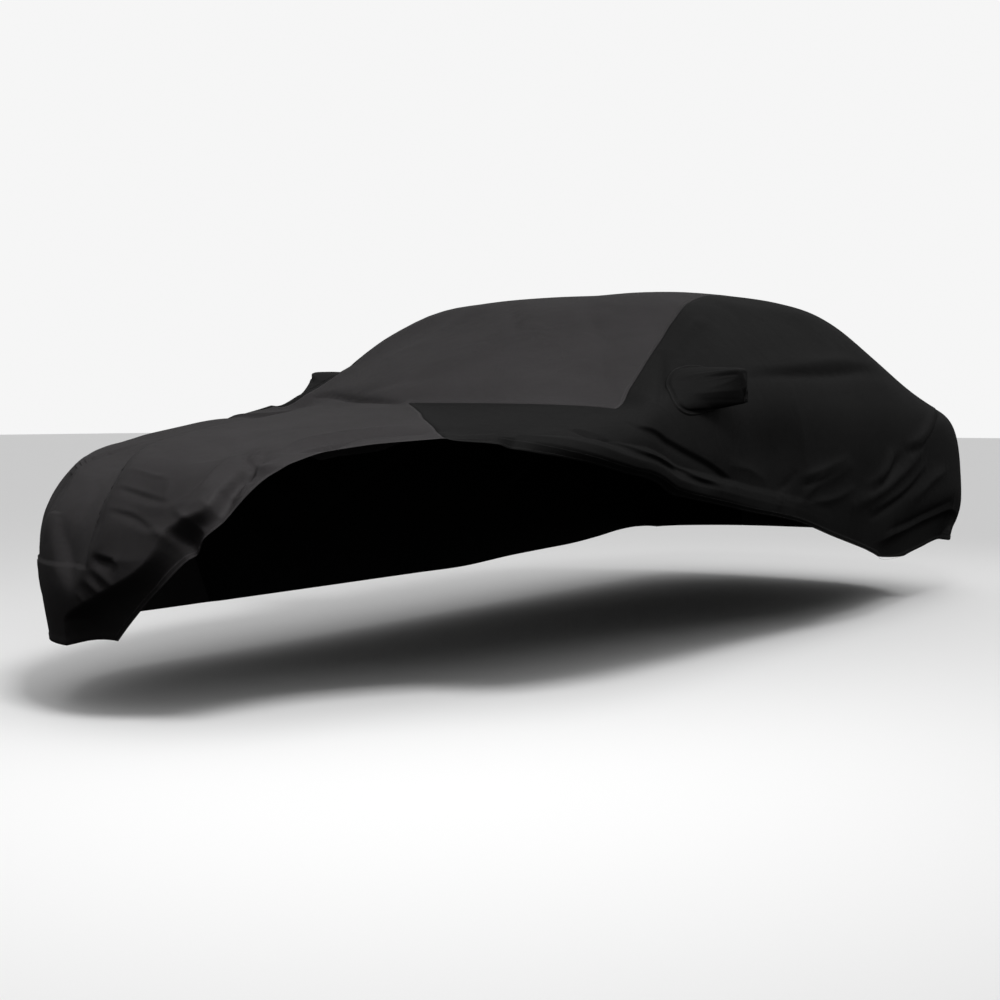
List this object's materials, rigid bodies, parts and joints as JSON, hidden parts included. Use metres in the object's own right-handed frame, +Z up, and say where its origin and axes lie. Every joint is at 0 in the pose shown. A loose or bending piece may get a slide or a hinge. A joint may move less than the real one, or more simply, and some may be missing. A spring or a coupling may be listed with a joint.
{
  "type": "car cover",
  "caption": "Charcoal and black fitted cloth cover for a saloon car, hollow and open below, with pockets for the mirrors and its front left corner lifted over the hood.",
  "frame": {"origin": "under the top of the roof, on the inner face of the cloth, where the car's roof holds the cover up", "axes": "+Z up, +Y towards the rear of the car, +X towards the car's left side"},
  "size_m": [1.998, 5.333, 1.2539],
  "materials": {
    "charcoal_cloth": "matte",
    "black_cloth": "matte"
  },
  "bodies": {
    "root": {"top_panel": "charcoal_cloth", "left_side_panel": "black_cloth", "right_side_panel": "black_cloth", "left_mirror_pocket": "black_cloth", "right_mirror_pocket": "black_cloth"}
  },
  "joints": []
}
